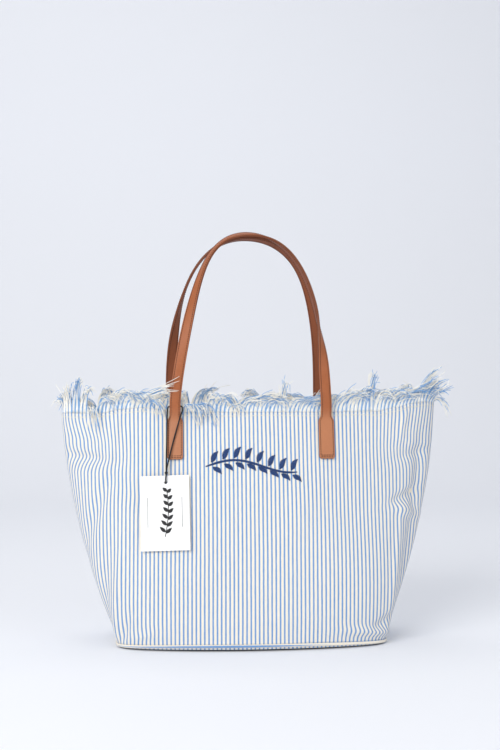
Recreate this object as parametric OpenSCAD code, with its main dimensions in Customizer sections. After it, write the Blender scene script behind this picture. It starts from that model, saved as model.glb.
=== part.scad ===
// Striped canvas tote bag with a frayed rim, two leather handles and a hang tag.
// Millimetres. Origin at the centre of the base, on the surface it stands on.
// +X is to the right seen from the front, -Y is the front and +Z is up.

/* [Body] */
// Height of the stitch line at the rim
rim_z = 304; // [260:1:360]
// Height of the seam between the base and the body
seam_z = 9; // [8:0.5:14]
// Half of the width at the seam
base_half_w = 175; // [150:1:200]
// Half of the depth at the middle of the seam
base_half_d = 88; // [70:1:100]
// Thickness of the canvas
canvas_t = 1; // [0.6:0.1:1.4]
// Thickness of the lining cloth
lining_t = 0.5; // [0.3:0.1:0.8]
// Diameter of the piping round the base
piping_d = 5; // [4:0.5:6]
// Height of the frayed yarns above the stitch line
fringe_h = 26; // [10:1:40]
// How far the frayed yarns lean outwards at the side seams
fringe_lean = 16; // [0:1:20]

/* [Handles] */
// Half of the distance between the front handle's two ends
front_half_span = 98; // [80:1:110]
// Half of the distance between the back handle's two ends
back_half_span = 102; // [80:1:110]
// Sideways offset of both handles
handles_x = -3; // [-6:1:6]
// How far the front handle's legs lean sideways half way up
front_sway = 3.5; // [0:0.5:6]
// How far each strap rolls off its edge on both sides of its highest point
handle_roll = 12; // [0:1:20]
// Height of the front handle's middle line at its highest point
front_handle_z = 537; // [460:0.5:600]
// Height of the back handle's middle line at its highest point
back_handle_z = 533.5; // [460:0.5:600]
// Width of the strap
strap_w = 14; // [10:0.5:20]
// Thickness of one of the strap's two plies
ply_t = 1.4; // [1:0.1:2]
// Width of the sewn tab at each end
tab_w = 20.5; // [16:0.5:28]
// Thickness of the sewn tab
tab_t = 2.6; // [2:0.1:3.2]
// Height of the tab's lower edge
tab_z = 242; // [220:1:255]
// Height of the line where the strap folds
fold_z = 315; // [312:1:325]

/* [Hang tag] */
// Width of the card
card_w = 63; // [45:1:80]
// Height of the card
card_h = 95; // [70:1:110]
// Thickness of the card
card_t = 0.6; // [0.4:0.1:1]
// Radius of the hole in the card
card_hole_r = 2.6; // [2.4:0.1:4]
// Diameter of the string
string_d = 1.6; // [1.2:0.1:1.8]

/* [Hidden] */

front = -1;
back = 1;
body_rise = rim_z - seam_z;
// The flare of the sides: wide quickly above the base, then nearly upright.
flare_rise = 136;
flare_fall = 61.5;
// The depth swells a little above the base and closes towards the rim.
swell = 6;
closing = 42;
// The base's long edges are crowned by this share of the depth at the corners.
crown = 0.25;
// Gap that keeps neighbouring layers of cloth apart
layer_gap = 0.3;
lining_inset = 3.2;
side_seam_angle = 0.25;
piping_points = 88;
base_points = 88;

// The strap stands off the rim by this much, so that it clears the frayed yarns.
strap_clear_y = 53.4;
strap_mid_y = strap_clear_y + ply_t + 0.1;
// Depth of a handle's middle line at its highest point
handle_top_y = 9.5;
half_arch_steps = 22;
// Heights where the strap starts to lean inwards and to turn edge-on
lean_start_z = 330;
// Heights between which each strap twists onto its edge, on its left and on its right.
front_twist = [[335, 545], [335, 445]];
back_twist = [[345, 480], [380, 514]];
front_top_roll = 20;
back_top_roll = 12;
tab_corner_r = 2;

card_x = -113;
card_hole_z = 213.3;
card_hole_below_top = 8.5;
card_hole_offset = 1.5;
card_gap = 3.4;
card_tilt = 2.3;
knot_d = 4.6;
// The string goes from the knot up round the left end of the front handle's strap and back
// across the tab to the knot.
string_route = [
    [-112.4, -67.8, 226], [-112.4, -66.8, 233], [-112.2, -65, 245], [-111.9, -62.4, 258],
    [-111.6, -59.8, 272], [-111.3, -58, 285], [-111, -56.6, 298], [-110.6, -54.6, 306],
    [-109, -52.5, 309], [-105, -51.4, 310], [-100, -51.4, 310.4], [-94.6, -51.3, 310],
    [-91.8, -52.6, 309], [-91.2, -55.8, 306], [-92.2, -58, 302.5], [-94.2, -58.6, 297],
    [-97.4, -58.8, 286], [-101.4, -60.4, 272], [-105.2, -63, 258], [-108.4, -65.6, 245],
    [-111, -67.2, 234], [-112.3, -68, 227.4]
];
// A small loop of the same string goes from the knot through the hole in the card.
card_loop_route = [
    [-112.5, -68.6, 223.8], [-112.8, -70.4, 220.4], [-113, -70.6, 216.4], [-113, -70, 213.6],
    [-113, -68.4, 212.6], [-113, -66.6, 213.4], [-112.9, -65.6, 216.4], [-112.6, -64.8, 220.6],
    [-112.5, -65.2, 222.8], [-112.4, -66.6, 224.2]
];

// ---- The bag's surface ----

function share_up(z) = (z - seam_z) / body_rise;
function half_width(u) = base_half_w + flare_rise * u - flare_fall * u * u;
function half_depth(u) = base_half_d + swell * u - closing * u * u;
// The section is nearly square-cornered at the base and an ellipse at the rim.
function corner_power(u) = 2 + 6 * pow(max(0, 1 - u), 3.5);
function crown_at(u) = crown * pow(1 - u, 2);

// A point of the section at height share u, at an angle, set in from the canvas's face.
function section_point(u, angle, inset) =
    let (a = half_width(u), b = half_depth(u), n = corner_power(u))
    let (c = cos(angle), s = sin(angle))
    let (r = pow(pow(abs(c), n) + pow(abs(s), n), -1 / n))
    [(a - inset) * r * c, (b - inset) * r * s * (1 - crown_at(u) * pow(r * c, 2))];

function body_point(z, angle, inset) =
    let (p = section_point(max(0, share_up(z)), angle, inset))
    [p[0], p[1], z];

// How far the canvas's outer face lies from the middle plane, at a place across and up.
function face_depth(x, z) =
    let (u = share_up(z), a = half_width(u), n = corner_power(u))
    half_depth(u) * pow(1 - pow(abs(x) / a, n), 1 / n) * (1 - crown_at(u) * pow(x / a, 2));

function spread(low, high, steps) = [for (i = [0 : steps]) low + (high - low) * i / steps];
function ease(t) = let (k = min(1, max(0, t))) k * k * (3 - 2 * k);
function flatten(list) = [for (part = list) each part];
function middle(points) = [for (p = points) 1 / len(points)] * points;

// ---- Solids from grids of points ----

// Faces of one grid of rows by cols points, numbered from first.
function grid_faces(rows, cols, first, flip) = [
    for (i = [0 : rows - 2], j = [0 : cols - 2])
        let (a = first + i * cols + j, b = a + 1, c = a + cols + 1, d = a + cols)
        each flip ? [[a, b, c], [a, c, d]] : [[a, c, b], [a, d, c]]
];

// A closed thin solid between two grids that have the same rows and columns.
module sheet(outer, inner) {
    rows = len(outer);
    cols = len(outer[0]);
    count = rows * cols;
    rim = concat(
        [for (j = [0 : cols - 1]) j],
        [for (i = [1 : rows - 1]) i * cols + cols - 1],
        [for (j = [cols - 2 : -1 : 0]) (rows - 1) * cols + j],
        [for (i = [rows - 2 : -1 : 1]) i * cols]
    );
    edge = [
        for (k = [0 : len(rim) - 1])
            let (a = rim[k], b = rim[(k + 1) % len(rim)])
            each [[a, b, b + count], [a, b + count, a + count]]
    ];
    polyhedron(
        points = concat(flatten(outer), flatten(inner)),
        faces = concat(grid_faces(rows, cols, 0, false), edge, grid_faces(rows, cols, count, true))
    );
}

// A layer of cloth on the body between two heights, two angles and two insets.
module body_layer(heights, angles, outer_inset, inner_inset) {
    sheet(
        [for (z = heights) [for (angle = angles) body_point(z, angle, outer_inset)]],
        [for (z = heights) [for (angle = angles) body_point(z, angle, inner_inset)]]
    );
}

// A patch that lies on one side of the body, given as rows of places across and up.
module face_patch(side, rows, near_out, far_out) {
    sheet(
        [for (row = rows) [for (p = row) [p[0], side * (face_depth(p[0], p[1]) + far_out), p[1]]]],
        [for (row = rows) [for (p = row) [p[0], side * (face_depth(p[0], p[1]) + near_out), p[1]]]]
    );
}

// A bar swept through rings of points; every ring has the same number of points.
module swept(rings) {
    size = len(rings[0]);
    last = len(rings) - 1;
    // Opposite walls are split along diagonals that run the same way, so two bars can lie together.
    walls = [
        for (i = [0 : last - 1], j = [0 : size - 1])
            let (a = i * size + j, b = i * size + (j + 1) % size)
            each j < size / 2
                ? [[a, a + size, b + size], [a, b + size, b]]
                : [[a, a + size, b], [b, a + size, b + size]]
    ];
    // Each end is closed by a fan of triangles round its middle.
    first_mid = last * size + size;
    polyhedron(
        points = concat(flatten(rings), [middle(rings[0]), middle(rings[last])]),
        faces = concat(
            [for (j = [0 : size - 1]) [j, (j + 1) % size, first_mid]],
            walls,
            [for (j = [0 : size - 1]) [last * size + (j + 1) % size, last * size + j, first_mid + 1]]
        )
    );
}

// ---- Body ----

panel_heights = spread(seam_z + piping_d / 2 + layer_gap, rim_z, 12);
lining_heights = spread(6.6, rim_z - 6, 9);
// Angles from the left side seam to the right one, round the front or round the back.
front_angles = spread(180 + side_seam_angle, 360 - side_seam_angle, 38);
back_angles = spread(side_seam_angle, 180 - side_seam_angle, 38);

module front_panel() {
    color("lightsteelblue") body_layer(panel_heights, front_angles, 0, canvas_t);
}

module back_panel() {
    color("lightsteelblue") body_layer(panel_heights, back_angles, 0, canvas_t);
}

// Closed rings of the base, as height and inset, from the seam down to the flat bottom.
base_outer = [[6.2, 0.3], [3.6, 1.3], [1.2, 4], [0, 8.5]];
base_inner = [[6.2, 1.5], [4.3, 2.5], [2.4, 4.9], [1.2, 9]];

function base_ring(height_inset) = [
    for (i = [0 : base_points - 1])
        let (p = section_point(0, i * 360 / base_points, height_inset[1]))
        [p[0], p[1], height_inset[0]]
];

module base_panel() {
    color("lightsteelblue")
        swept(concat(
            [for (i = [len(base_outer) - 1 : -1 : 0]) base_ring(base_outer[i])],
            [for (ring = base_inner) base_ring(ring)]
        ));
}

module base_piping() {
    ring = [for (j = [0 : 7]) [cos(j * 45), sin(j * 45)] * piping_d / 2];
    points = flatten([
        for (i = [0 : piping_points - 1])
            let (p = section_point(0, i * 360 / piping_points, -0.5))
            let (q = section_point(0, i * 360 / piping_points, -1.5))
            let (out = (q - p) / norm(q - p))
            [for (r = ring) [p[0] + out[0] * r[0], p[1] + out[1] * r[0], seam_z + r[1]]]
    ]);
    faces = [
        for (i = [0 : piping_points - 1], j = [0 : 7])
            let (next = (i + 1) % piping_points)
            let (a = i * 8 + j, b = i * 8 + (j + 1) % 8, c = next * 8 + (j + 1) % 8, d = next * 8 + j)
            each [[a, b, c], [a, c, d]]
    ];
    color("cornflowerblue") polyhedron(points = points, faces = faces);
}

// A flat sheet with the base's outline, set in from the canvas.
module base_sheet(inset, low, thickness) {
    translate([0, 0, low]) linear_extrude(height = thickness)
        polygon([for (i = [0 : base_points - 1]) section_point(0, i * 360 / base_points, inset)]);
}

module base_board() {
    color("burlywood") base_sheet(12, 1.5, 2);
}

module base_lining() {
    color("ivory") base_sheet(6.5, 5, lining_t);
}

module front_lining() {
    color("ivory") body_layer(lining_heights, front_angles, lining_inset, lining_inset + lining_t);
}

module back_lining() {
    color("ivory") body_layer(lining_heights, back_angles, lining_inset, lining_inset + lining_t);
}

// The pocket hangs on the back lining, inside the bag.
module inner_pocket() {
    near = -(lining_inset + lining_t + layer_gap);
    color("beige")
        face_patch(back, [for (z = spread(120, 240, 5)) [for (x = spread(75, -75, 10)) [x, z]]],
            near - lining_t, near);
}

// The tape between canvas and lining that the frayed edge is stitched to
module rim_tape() {
    near = canvas_t + layer_gap;
    color("ivory") {
        body_layer([rim_z - 14, rim_z - 1], front_angles, near, near + 0.6);
        body_layer([rim_z - 14, rim_z - 1], back_angles, near, near + 0.6);
    }
}

// The frayed yarns stand on the rim and lean outwards only near the side seams.
module fringe(angles) {
    thickness = 1.6;
    rows = spread(0, 1, 3);
    function fringe_point(share, angle, inset) =
        let (p = section_point(1, angle, inset), side = pow(abs(cos(angle)), 14))
        let (lean = fringe_lean * side * pow(share, 1.5))
        [p[0] * (1 + lean / half_width(1)), p[1] * (1 + lean / half_width(1)),
            rim_z + layer_gap + fringe_h * share];
    sheet(
        [for (share = rows) [for (angle = angles) fringe_point(share, angle, -0.4)]],
        [for (share = rows) [for (angle = angles) fringe_point(share, angle, thickness - 0.4)]]
    );
}

module front_fringe() {
    color("aliceblue") fringe(front_angles);
}

module back_fringe() {
    color("aliceblue") fringe(back_angles);
}

// ---- Handles ----

tab_heights = concat(
    [for (a = [0 : 22.5 : 90]) tab_z + tab_corner_r * (1 - cos(a))],
    [252, 264, 276, 286, 290, 294, 297, 300, 303, 306, 310, fold_z - 0.3]
);

function tab_half_width(z) =
    let (corner = max(0, tab_z + tab_corner_r - z))
    tab_w / 2 - tab_corner_r + sqrt(pow(tab_corner_r, 2) - corner * corner)
        - (tab_w - strap_w) / 2 * ease((z - 290) / 8);

// Distance of the tab's inner face from the middle plane: sewn flat, then off the rim.
function tab_depth(x, z) =
    let (sewn = face_depth(x, min(z, rim_z)) + layer_gap, free = strap_clear_y)
    sewn + (free - sewn) * ease((z - 288) / 18);

module tab(side, x_mid) {
    color("peru") sheet(
        [for (z = tab_heights) [for (k = [-side, -side / 2, 0, side / 2, side])
            let (x = x_mid - k * tab_half_width(z)) [x, side * (tab_depth(x, z) + tab_t), z]]],
        [for (z = tab_heights) [for (k = [-side, -side / 2, 0, side / 2, side])
            let (x = x_mid - k * tab_half_width(z)) [x, side * tab_depth(x, z), z]]]
    );
}

module front_left_tab() {
    tab(front, handles_x - front_half_span);
}

module front_right_tab() {
    tab(front, handles_x + front_half_span);
}

module back_left_tab() {
    tab(back, handles_x - back_half_span);
}

module back_right_tab() {
    tab(back, handles_x + back_half_span);
}

// Stiff patches between canvas and lining, behind each tab
module handle_patches() {
    near = -(canvas_t + layer_gap);
    for (side = [front, back])
        for (end = [-1, 1]) {
            x_mid = handles_x + end * (side == front ? front_half_span : back_half_span);
            color("saddlebrown")
                face_patch(side, [for (z = spread(244, 284, 3))
                    [for (k = [-side, 0, side]) [x_mid - k * tab_w / 2, z]]], near - 0.6, near);
        }
}

// Guide points of half an arch, across and up: the fold, two that bend it, and the top.
front_guides = [[front_half_span, fold_z + 0.3], [front_half_span - 7, 425], [78, front_handle_z],
    [0, front_handle_z]];
back_guides = [[back_half_span, fold_z + 0.3], [back_half_span + 2, 432], [81, back_handle_z],
    [0, back_handle_z]];

// Middle line of half an arch, from 0 at the fold to 1 at the top.
function arch_point(t, guides) =
    guides[0] * pow(1 - t, 3) + guides[1] * 3 * t * pow(1 - t, 2)
        + guides[2] * 3 * t * t * (1 - t) + guides[3] * pow(t, 3);

function share_between(z, limits) = ease((z - limits[0]) / (limits[1] - limits[0]));

// The whole arch from the left end, k = -1, over the top, k = 0, to the right end, k = 1.
function handle_point(k, side) =
    let (guides = side == front ? front_guides : back_guides, t = 1 - abs(k))
    let (p = arch_point(t, guides), lean = share_between(p[1], [lean_start_z, guides[3][1]]))
    let (sway = side == front ? front_sway * pow(sin(180 * t), 2) : 0)
    [
        handles_x + (k < 0 ? -1 : 1) * p[0] + sway,
        side * (strap_mid_y + (handle_top_y - strap_mid_y) * lean),
        p[1]
    ];

function unit(v) = v / norm(v);

// Four corners of one ply at k, between two distances out from the middle line.
function ply_ring(k, side, near_out, far_out) =
    let (step = 0.01, p = handle_point(k, side))
    let (along = unit(handle_point(min(1, k + step), side) - handle_point(max(-1, k - step), side)))
    let (heights = (side == front ? front_twist : back_twist)[k < 0 ? 0 : 1])
    let (roll = side * handle_roll * sin(90 * max(-1, min(1, 3 * k))))
    let (top_roll = side == back ? back_top_roll : front_top_roll * pow(cos(90 * min(1, 3 * abs(k))), 2))
    let (turn = share_between(p[2], heights) * (90 - roll - top_roll))
    let (radial = unit(cross([0, -1, 0], along)), flat = unit(cross(radial, along)))
    let (out = cos(turn) * flat * side + sin(turn) * radial, across = unit(cross(along, out)))
    [
        p + out * near_out - across * strap_w / 2, p + out * far_out - across * strap_w / 2,
        p + out * far_out + across * strap_w / 2, p + out * near_out + across * strap_w / 2
    ];

module ply(side, near_out, far_out) {
    swept([for (k = spread(-1, 1, 2 * half_arch_steps)) ply_ring(k, side, near_out, far_out)]);
}

module front_handle() {
    color("peru") ply(front, 0.1, 0.1 + ply_t);
}

module front_handle_backing() {
    color("sienna") ply(front, -0.1 - ply_t, -0.1);
}

module back_handle() {
    color("peru") ply(back, 0.1, 0.1 + ply_t);
}

module back_handle_backing() {
    color("sienna") ply(back, -0.1 - ply_t, -0.1);
}

// ---- Embroidery ----

// A leaf as rows of places across and up, along its own middle line.
function leaf_rows(root, angle, length, width) = [
    for (i = [0 : 8])
        let (t = 0.02 + 0.96 * i / 8, half = width / 2 * sin(180 * pow(t, 0.85)))
        let (mid = root + length * t * [cos(angle), sin(angle)], side = [-sin(angle), cos(angle)])
        [mid + side * half, mid, mid - side * half]
];

stem_points = [for (t = spread(0, 1, 16)) [-62 + 117 * t, 233 + 8 * sin(360 * t * 0.8)]];

module embroidery() {
    stem_w = 3.2;
    color("midnightblue") {
        face_patch(front, [for (p = stem_points) [p + [0, stem_w / 2], p - [0, stem_w / 2]]], 0.2, 1);
        for (i = [1 : 2 : 15]) {
            p = stem_points[i];
            face_patch(front, leaf_rows(p + [0, 3], 58, 16, 7.6), 0.2, 1);
            face_patch(front, leaf_rows(p + [2, -3.2], -38, 13.5, 6.8), 0.2, 1);
        }
    }
}

// ---- Hang tag ----

function ring_at(route, i, count) =
    let (last = len(route) - 1)
    let (along = unit(route[min(last, i + 1)] - route[max(0, i - 1)]))
    let (side = unit(cross(along, abs(along[0]) < 0.8 ? [1, 0, 0] : [0, 0, 1])))
    let (up = cross(along, side))
    [for (j = [0 : count - 1])
        route[i] + (cos(j * 360 / count) * side + sin(j * 360 / count) * up) * string_d / 2];

module tag_string() {
    color("black") {
        swept([for (i = [0 : len(string_route) - 1]) ring_at(string_route, i, 8)]);
        swept([for (i = [0 : len(card_loop_route) - 1]) ring_at(card_loop_route, i, 8)]);
    }
}

module tag_knot() {
    color("black") translate([card_x + 0.6, -67.6, 225]) sphere(d = knot_d, $fn = 24);
}

module hang_tag() {
    x_slope = (face_depth(card_x + 5, 180) - face_depth(card_x - 5, 180)) / 10;
    z_slope = (face_depth(card_x, 185) - face_depth(card_x, 175)) / 10;
    hole_y = face_depth(card_x, card_hole_z) + card_gap;
    color("white")
        translate([card_x, -hole_y, card_hole_z])
        rotate([atan(z_slope), 0, -atan(x_slope)])
        rotate([0, -card_tilt, 0])
        rotate([90, 0, 0])
        linear_extrude(height = card_t)
        difference() {
            translate([-card_w / 2 - card_hole_offset, card_hole_below_top - card_h])
                square([card_w, card_h]);
            circle(r = card_hole_r, $fn = 32);
        }
}

front_panel();
back_panel();
base_panel();
base_piping();
base_board();
base_lining();
front_lining();
back_lining();
inner_pocket();
rim_tape();
front_fringe();
back_fringe();
front_left_tab();
front_right_tab();
back_left_tab();
back_right_tab();
handle_patches();
front_handle();
front_handle_backing();
back_handle();
back_handle_backing();
embroidery();
tag_string();
tag_knot();
hang_tag();
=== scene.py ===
"""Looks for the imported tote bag: striped canvas, frayed rim, leather handles, embroidery and hang tag.

Metres, in the row frame: +X to the right seen from the front, -Y to the front, +Z up.
"""

import math

import bpy
import numpy as np
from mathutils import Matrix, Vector


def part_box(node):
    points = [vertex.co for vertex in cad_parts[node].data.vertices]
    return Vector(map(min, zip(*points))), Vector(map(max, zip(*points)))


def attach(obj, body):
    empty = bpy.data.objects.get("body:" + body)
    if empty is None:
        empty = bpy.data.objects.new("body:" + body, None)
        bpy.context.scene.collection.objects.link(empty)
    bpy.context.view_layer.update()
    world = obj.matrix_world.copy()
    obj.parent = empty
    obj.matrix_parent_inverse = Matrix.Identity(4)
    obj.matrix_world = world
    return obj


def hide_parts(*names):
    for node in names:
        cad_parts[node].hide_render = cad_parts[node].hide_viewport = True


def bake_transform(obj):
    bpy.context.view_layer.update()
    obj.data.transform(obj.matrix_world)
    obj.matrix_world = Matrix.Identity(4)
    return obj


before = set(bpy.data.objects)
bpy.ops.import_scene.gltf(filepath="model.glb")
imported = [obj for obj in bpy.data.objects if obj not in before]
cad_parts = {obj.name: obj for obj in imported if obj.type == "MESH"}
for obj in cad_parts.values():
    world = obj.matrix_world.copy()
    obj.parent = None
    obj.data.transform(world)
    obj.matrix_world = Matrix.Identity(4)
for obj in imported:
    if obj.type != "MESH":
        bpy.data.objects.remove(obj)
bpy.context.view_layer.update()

MM = 0.001

# ---- Sizes, from the frame where it holds them ----

LOW, HIGH = 0, 1
X, Y, Z = 0, 1, 2
PIPING_R = (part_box("base_piping")[HIGH][Z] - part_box("base_piping")[LOW][Z]) / 2
SEAM_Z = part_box("base_piping")[LOW][Z] + PIPING_R
RIM_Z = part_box("front_panel")[HIGH][Z]
RISE = RIM_Z - SEAM_Z
PIPING_OUT = 0.5 * MM
BASE_HALF_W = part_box("base_piping")[HIGH][X] - PIPING_R - PIPING_OUT
BASE_HALF_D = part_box("base_piping")[HIGH][Y] - PIPING_R - PIPING_OUT
CANVAS_T = 1.0 * MM
FRINGE_HALF_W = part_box("front_fringe")[HIGH][X]

STRIPE = 5.33 * MM
BLUE_SHARE = 0.39

TAB_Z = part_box("front_left_tab")[LOW][Z]
FOLD_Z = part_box("front_left_tab")[HIGH][Z] + 0.3 * MM
TAB_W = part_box("back_right_tab")[HIGH][X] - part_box("back_right_tab")[LOW][X]
STRAP_W = 14 * MM
STRAP_T = 3 * MM
STRAP_CLEAR_Y = 53.4 * MM
STRAP_MID_Y = STRAP_CLEAR_Y + STRAP_T / 2
HANDLE_TOP_Y = 9.5 * MM
FRONT_TOP_Z = 537 * MM
BACK_TOP_Z = 533.5 * MM
FRONT_SWAY = 3.5 * MM
HANDLE_ROLL = math.radians(12)
FRONT_TOP_ROLL = math.radians(20)
BACK_TOP_ROLL = math.radians(12)
TAB_CORNER_R = 2 * MM

CARD_W, CARD_H, CARD_T = 63 * MM, 95 * MM, 0.6 * MM
CARD_X = -113 * MM
CARD_HOLE_Z = 213.3 * MM
CARD_HOLE_BELOW_TOP = 8.5 * MM
CARD_HOLE_OFFSET = 1.5 * MM
CARD_GAP = 3.4 * MM
CARD_TILT = math.radians(2.3)
STRING_D = 2.0 * MM

# The string's route, in millimetres: from the knot up round the left end of the front
# handle's strap, back across the tab to the knot, then through the hole in the card.
STRING_ROUTE = [
    (-112.4, -67.8, 226), (-112.4, -66.8, 233), (-112.2, -65, 245), (-111.9, -62.4, 258),
    (-111.6, -59.8, 272), (-111.3, -58, 285), (-111, -56.6, 298), (-110.6, -54.6, 306),
    (-109, -52.5, 309), (-105, -51.4, 310), (-100, -51.4, 310.4), (-94.6, -51.3, 310),
    (-91.8, -52.6, 309), (-91.2, -55.8, 306), (-92.2, -58, 302.5), (-94.2, -58.6, 297),
    (-97.4, -58.8, 286), (-101.4, -60.4, 272), (-105.2, -63, 258), (-108.4, -65.6, 245),
    (-111, -67.2, 234), (-112.3, -68, 227.4),
    (-112.5, -68.6, 223.8), (-112.8, -70.4, 220.4), (-113, -70.6, 216.4), (-113, -70, 213.6),
    (-113, -68.4, 212.6), (-113, -66.6, 213.4), (-112.9, -65.6, 216.4), (-112.6, -64.8, 220.6),
    (-112.5, -65.2, 222.8), (-112.4, -66.6, 224.2),
]
KNOT_AT = np.array([-112.4, -67.6, 225.0]) * MM

rng = np.random.default_rng(11)


# ---- Camera ----

CAMERA_DISTANCE = 1.6
CAMERA_TURN = math.radians(4.5)
CAMERA_Z = 0.35


def add_camera():
    data = bpy.data.cameras.new("camera")
    data.lens = 57.4
    data.sensor_width = 36
    data.clip_start = 0.05
    data.clip_end = 60
    camera = bpy.data.objects.new("camera", data)
    camera.location = (
        -CAMERA_DISTANCE * math.sin(CAMERA_TURN),
        -CAMERA_DISTANCE * math.cos(CAMERA_TURN),
        CAMERA_Z,
    )
    camera.rotation_euler = (math.pi / 2, 0, -CAMERA_TURN)
    bpy.context.scene.collection.objects.link(camera)
    bpy.context.scene.camera = camera


add_camera()


# ---- Small tools ----


def unit(v):
    v = np.asarray(v, float)
    return v / np.maximum(np.linalg.norm(v, axis=-1, keepdims=True), 1e-12)


def ease(t):
    t = np.clip(t, 0, 1)
    return t * t * (3 - 2 * t)


def grid_faces(rows, cols, around=False, start=0):
    """Quads of a grid of rows by cols points; around also joins the last column to the first."""
    faces = []
    for i in range(rows - 1):
        for j in range(cols if around else cols - 1):
            k = (j + 1) % cols
            a = start + i * cols
            b = a + cols
            faces.append((a + j, a + k, b + k, b + j))
    return faces


def mesh_piece(name, points, faces, materials, smooth=True):
    """A mesh object in the scene; materials is one material or a list."""
    mesh = bpy.data.meshes.new(name)
    mesh.from_pydata([tuple(map(float, p)) for p in points], [], faces)
    mesh.update()
    for material in materials if isinstance(materials, (list, tuple)) else [materials]:
        mesh.materials.append(material)
    if smooth:
        mesh.polygons.foreach_set("use_smooth", [True] * len(mesh.polygons))
    piece = bpy.data.objects.new(name, mesh)
    bpy.context.scene.collection.objects.link(piece)
    return piece


def ride(piece, body, slot_name, *replaced):
    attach(piece, body)
    if replaced:
        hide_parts(*replaced)
    return piece


def give_material(node, material):
    """Puts a material on a node of the CAD model that shows as it is."""
    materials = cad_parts[node].data.materials
    materials.clear()
    materials.append(material)


def store(piece, name, values):
    """Keeps a vector for each point of the mesh, for its material to read."""
    attribute = piece.data.attributes.new(name, "FLOAT_VECTOR", "POINT")
    flat = np.zeros((len(piece.data.vertices), 3))
    flat[:, : values.shape[1]] = values
    attribute.data.foreach_set("vector", flat.ravel())


def smooth_route(points, spacing):
    """Points at an even spacing along a curve through the given ones (Catmull-Rom)."""
    p = np.asarray(points, float)
    p = np.vstack([2 * p[0] - p[1], p, 2 * p[-1] - p[-2]])
    fine = []
    for a, b, c, d in zip(p[:-3], p[1:-2], p[2:-1], p[3:]):
        for t in np.linspace(0, 1, 24, endpoint=False):
            fine.append(0.5 * (
                2 * b + (c - a) * t + (2 * a - 5 * b + 4 * c - d) * t**2
                + (3 * b - a - 3 * c + d) * t**3
            ))
    fine.append(p[-2])
    return even_points(np.array(fine), spacing)


def even_points(line, spacing):
    along = np.concatenate([[0], np.cumsum(np.linalg.norm(np.diff(line, axis=0), axis=1))])
    count = max(4, int(round(along[-1] / spacing)) + 1)
    at = np.linspace(0, along[-1], count)
    return np.stack([np.interp(at, along, line[:, k]) for k in range(3)], axis=1)


def line_frames(line):
    """Along, side and up directions for each point of a line, carried without twist."""
    along = unit(np.gradient(line, axis=0))
    side = np.zeros_like(line)
    first = np.array([1.0, 0, 0]) if abs(along[0][0]) < 0.8 else np.array([0, 0, 1.0])
    side[0] = unit(first - along[0] * np.dot(first, along[0]))
    for i in range(1, len(line)):
        s = side[i - 1] - along[i] * np.dot(side[i - 1], along[i])
        side[i] = unit(s)
    return along, side, np.cross(along, side)


def tube_points(line, radius, sides, relief=0.0, lay=6 * MM, strands=3):
    """Rings of a tube; relief makes it a twisted cord with its strands standing proud."""
    _, side, up = line_frames(line)
    travelled = np.concatenate([[0], np.cumsum(np.linalg.norm(np.diff(line, axis=0), axis=1))])
    angles = np.arange(sides) * 2 * math.pi / sides
    points = []
    for i, p in enumerate(line):
        twist = 2 * math.pi * travelled[i] / lay
        r = radius * (1 - relief + relief * np.abs(np.cos(strands * (angles - twist) / 2)))
        ends = 0.55 if i in (0, len(line) - 1) else 1.0
        ring = p + (np.cos(angles)[:, None] * side[i] + np.sin(angles)[:, None] * up[i]) * (
            r[:, None] * ends
        )
        points.append(ring)
    return np.vstack(points)


def tube_faces(rings, sides, start=0):
    faces = grid_faces(rings, sides, around=True, start=start)
    last = start + (rings - 1) * sides
    faces.append(tuple(start + j for j in reversed(range(sides))))
    faces.append(tuple(last + j for j in range(sides)))
    return faces


def many_tubes(name, lines, radius, sides, material, **more):
    """One mesh of many separate tubes."""
    points, faces, count = [], [], 0
    for line in lines:
        rings = tube_points(np.asarray(line), radius, sides, **more)
        points.append(rings)
        faces += tube_faces(len(line), sides, count)
        count += len(rings)
    return mesh_piece(name, np.vstack(points), faces, material)


# ---- The bag's surface ----


def half_width(u):
    return BASE_HALF_W + 136 * MM * u - 61.5 * MM * u * u


def half_depth(u):
    return BASE_HALF_D + 6 * MM * u - 42 * MM * u * u


def corner_power(u):
    return 2 + 6 * np.clip(1 - u, 0, 1) ** 3.5


def crown_at(u):
    return 0.25 * np.clip(1 - u, 0, 1) ** 2


def section(u, angle, inset=0.0):
    """The level section at height share u: a point at each angle, set in from the canvas."""
    a, b, n = half_width(u), half_depth(u), corner_power(u)
    c, s = np.cos(angle), np.sin(angle)
    r = (np.abs(c) ** n + np.abs(s) ** n) ** (-1 / n)
    return (a - inset) * r * c, (b - inset) * r * s * (1 - crown_at(u) * (r * c) ** 2)


def face_depth(x, z):
    """How far the canvas's smooth outer face lies from the middle plane."""
    u = np.clip((z - SEAM_Z) / RISE, 0, 1)
    a, n = half_width(u), corner_power(u)
    share = np.clip(np.abs(x) / a, 0, 1)
    return half_depth(u) * (1 - share**n) ** (1 / n) * (1 - crown_at(u) * share**2)


FRONT, BACK = -1, 1


def middle_x(node):
    return (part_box(node)[LOW][X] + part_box(node)[HIGH][X]) / 2


TAB_X = {
    FRONT: (middle_x("front_left_tab"), middle_x("front_right_tab")),
    BACK: (middle_x("back_left_tab"), middle_x("back_right_tab")),
}
HEIGHT_SHARES = np.linspace(0, 1, 60)
FRONT_ANGLES = np.linspace(math.pi, 2 * math.pi, 721)


def measure_sections():
    """For each height share, the distance along the cloth from the centre to each angle."""
    tables = []
    for u in HEIGHT_SHARES:
        x, y = section(u, FRONT_ANGLES)
        steps = np.hypot(np.diff(x), np.diff(y))
        along = np.concatenate([[0], np.cumsum(steps)])
        tables.append(along - along[-1] / 2)
    return np.array(tables)


ALONG = measure_sections()


def half_girth(z):
    u = np.clip((z - SEAM_Z) / RISE, 0, 1)
    return np.interp(u, HEIGHT_SHARES, ALONG[:, -1])


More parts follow.
